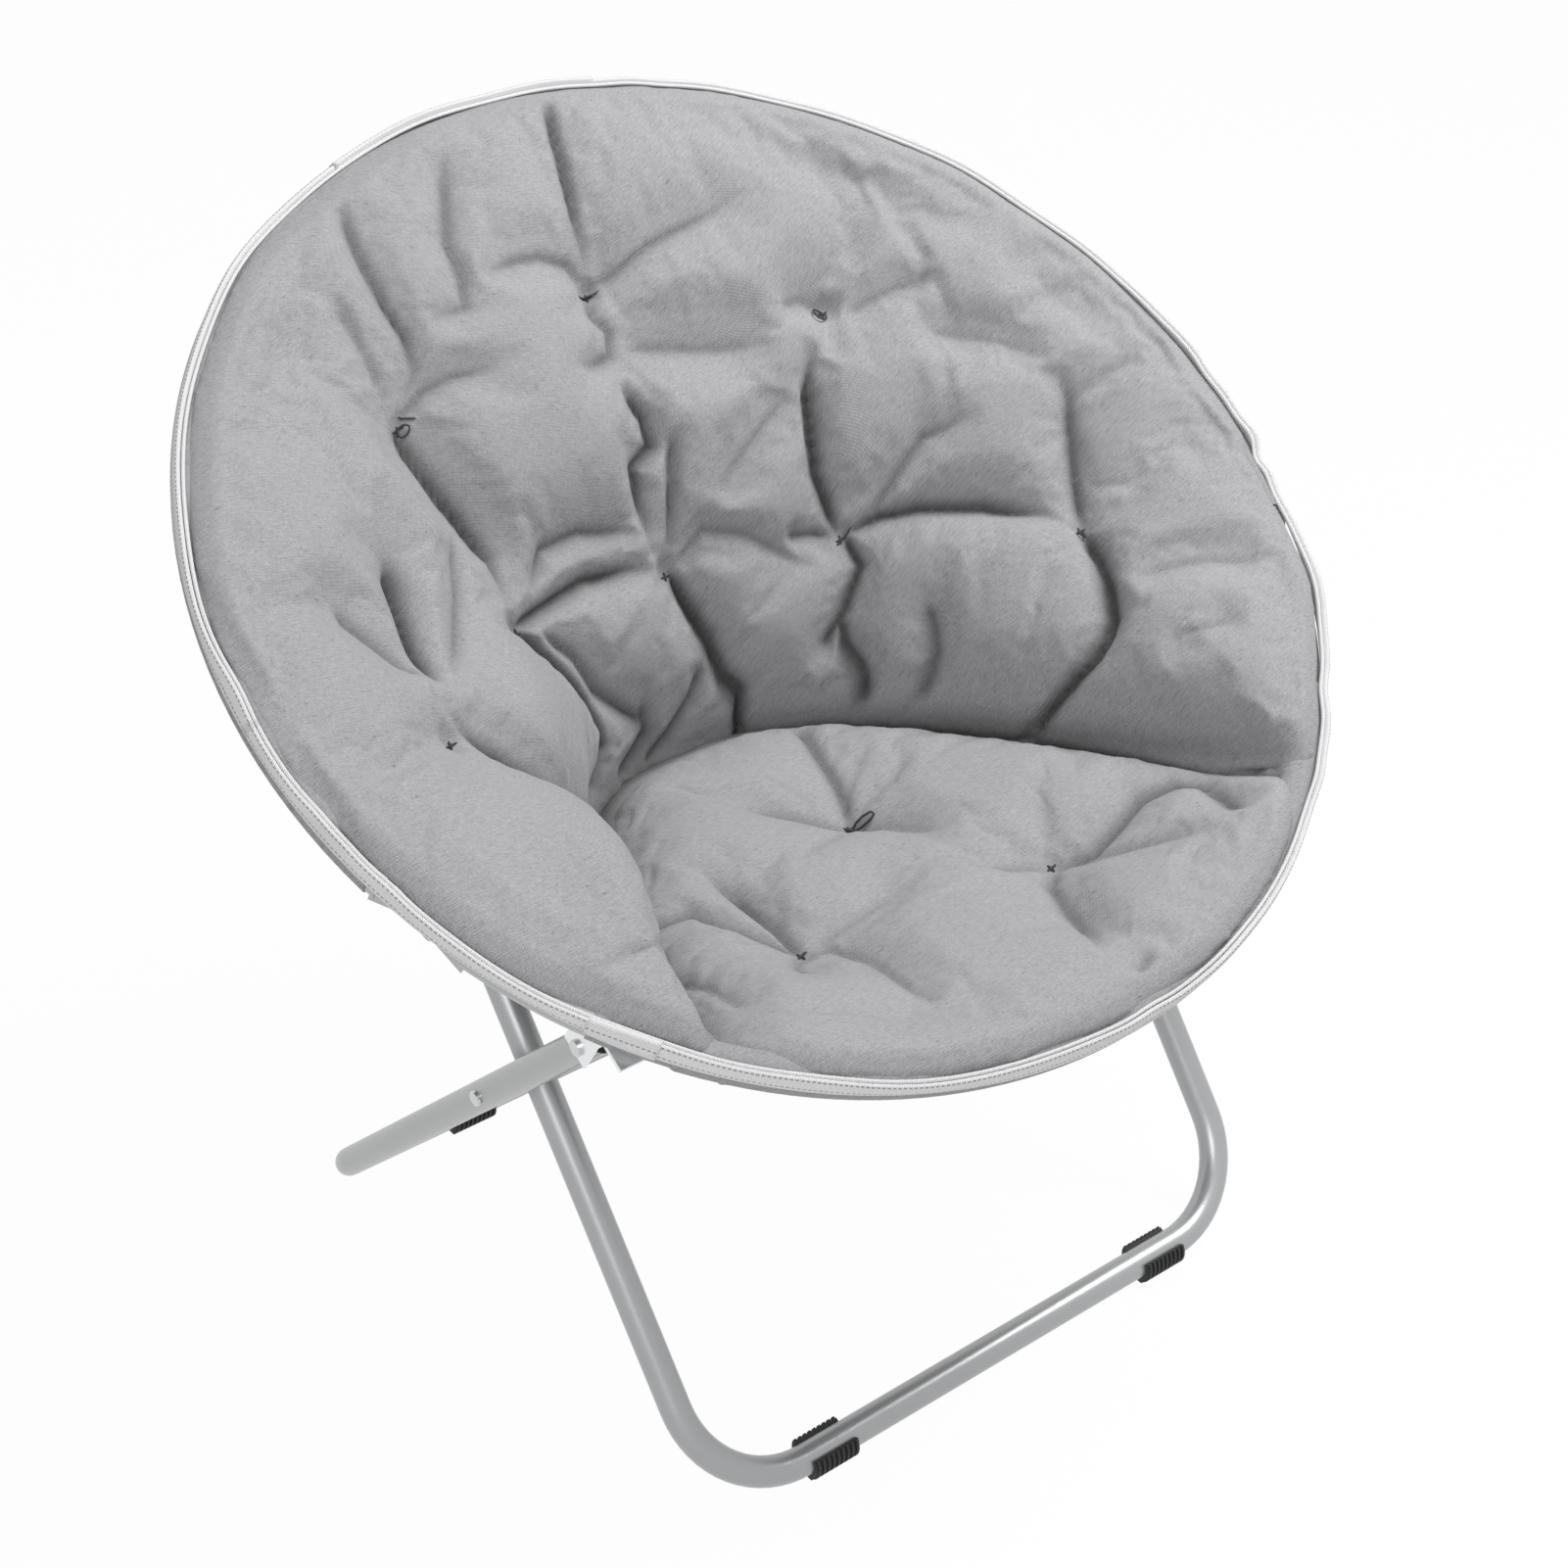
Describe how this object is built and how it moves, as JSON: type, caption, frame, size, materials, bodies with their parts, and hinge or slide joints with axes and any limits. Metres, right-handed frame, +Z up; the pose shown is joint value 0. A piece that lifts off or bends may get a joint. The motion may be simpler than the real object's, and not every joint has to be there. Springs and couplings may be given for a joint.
{
  "type": "folding saucer chair",
  "caption": "Round padded saucer chair: a dished, tufted seat slung in a tilted, hinged hoop on crossed U-shaped folding legs.",
  "frame": {"origin": "on the floor, at the middle of the open chair's box", "axes": "+X to the sitter's left, -Y to the front, +Z up"},
  "size_m": [0.815, 0.6997, 0.7837],
  "materials": {
    "frame_paint": "satin silver-grey powder coat",
    "zinc_steel": "bright zinc plating on pressed sheet",
    "rivet_steel": "satin steel",
    "black_plastic": "matt moulded",
    "foot_rubber": "matt ribbed",
    "seat_fabric": "fine plain-weave canvas",
    "woven_tape": "herringbone woven tape",
    "tuft_thread": "dark stitched thread"
  },
  "bodies": {
    "rear_frame": {"rear_leg_frame": "frame_paint", "rear_leg_plugs": "black_plastic", "rear_foot_left": "foot_rubber", "rear_foot_right": "foot_rubber", "crossing_rivets": "rivet_steel", "crossing_spacers": "zinc_steel"},
    "front_frame": {"front_leg_frame": "frame_paint", "front_leg_plugs": "black_plastic", "front_foot_left": "foot_rubber", "front_foot_right": "foot_rubber"},
    "front_hoop": {"front_hoop_tube": "frame_paint", "front_bracket_left": "zinc_steel", "front_bracket_right": "zinc_steel", "front_bracket_rivets": "rivet_steel", "hinge_rivets": "rivet_steel", "seat_pad": "seat_fabric", "front_sleeve": "seat_fabric", "front_edging": "woven_tape", "seat_tufts": "tuft_thread"},
    "back_hoop": {"back_hoop_tube": "frame_paint", "back_bracket_left": "zinc_steel", "back_bracket_right": "zinc_steel", "back_bracket_rivets": "rivet_steel", "back_pad": "seat_fabric", "back_sleeve": "seat_fabric", "back_edging": "woven_tape", "back_tufts": "tuft_thread"}
  },
  "joints": [
    {"name": "leg_fold", "type": "hinge", "parent": "rear_frame", "child": "front_frame", "pos_m": [0, -0.0548, 0.2719], "axis": [1, 0, 0], "range_deg": [0, 56.41]},
    {"name": "front_hoop_pivot", "type": "hinge", "parent": "rear_frame", "child": "front_hoop", "pos_m": [0, -0.18796, 0.39956], "axis": [1, 0, 0], "range_deg": [-89.76, 0]},
    {"name": "hoop_hinge", "type": "hinge", "parent": "front_hoop", "child": "back_hoop", "pos_m": [0, -0.13001, 0.48726], "axis": [1, 0, 0], "range_deg": [0, 170], "deforming": ["seat_pad", "back_pad"]}
  ],
  "couplings": [
    {"joint": "front_hoop_pivot", "follows": "leg_fold", "ratio": -1.5911},
    {"joint": "hoop_hinge", "follows": "leg_fold", "ratio": 3.0136}
  ]
}
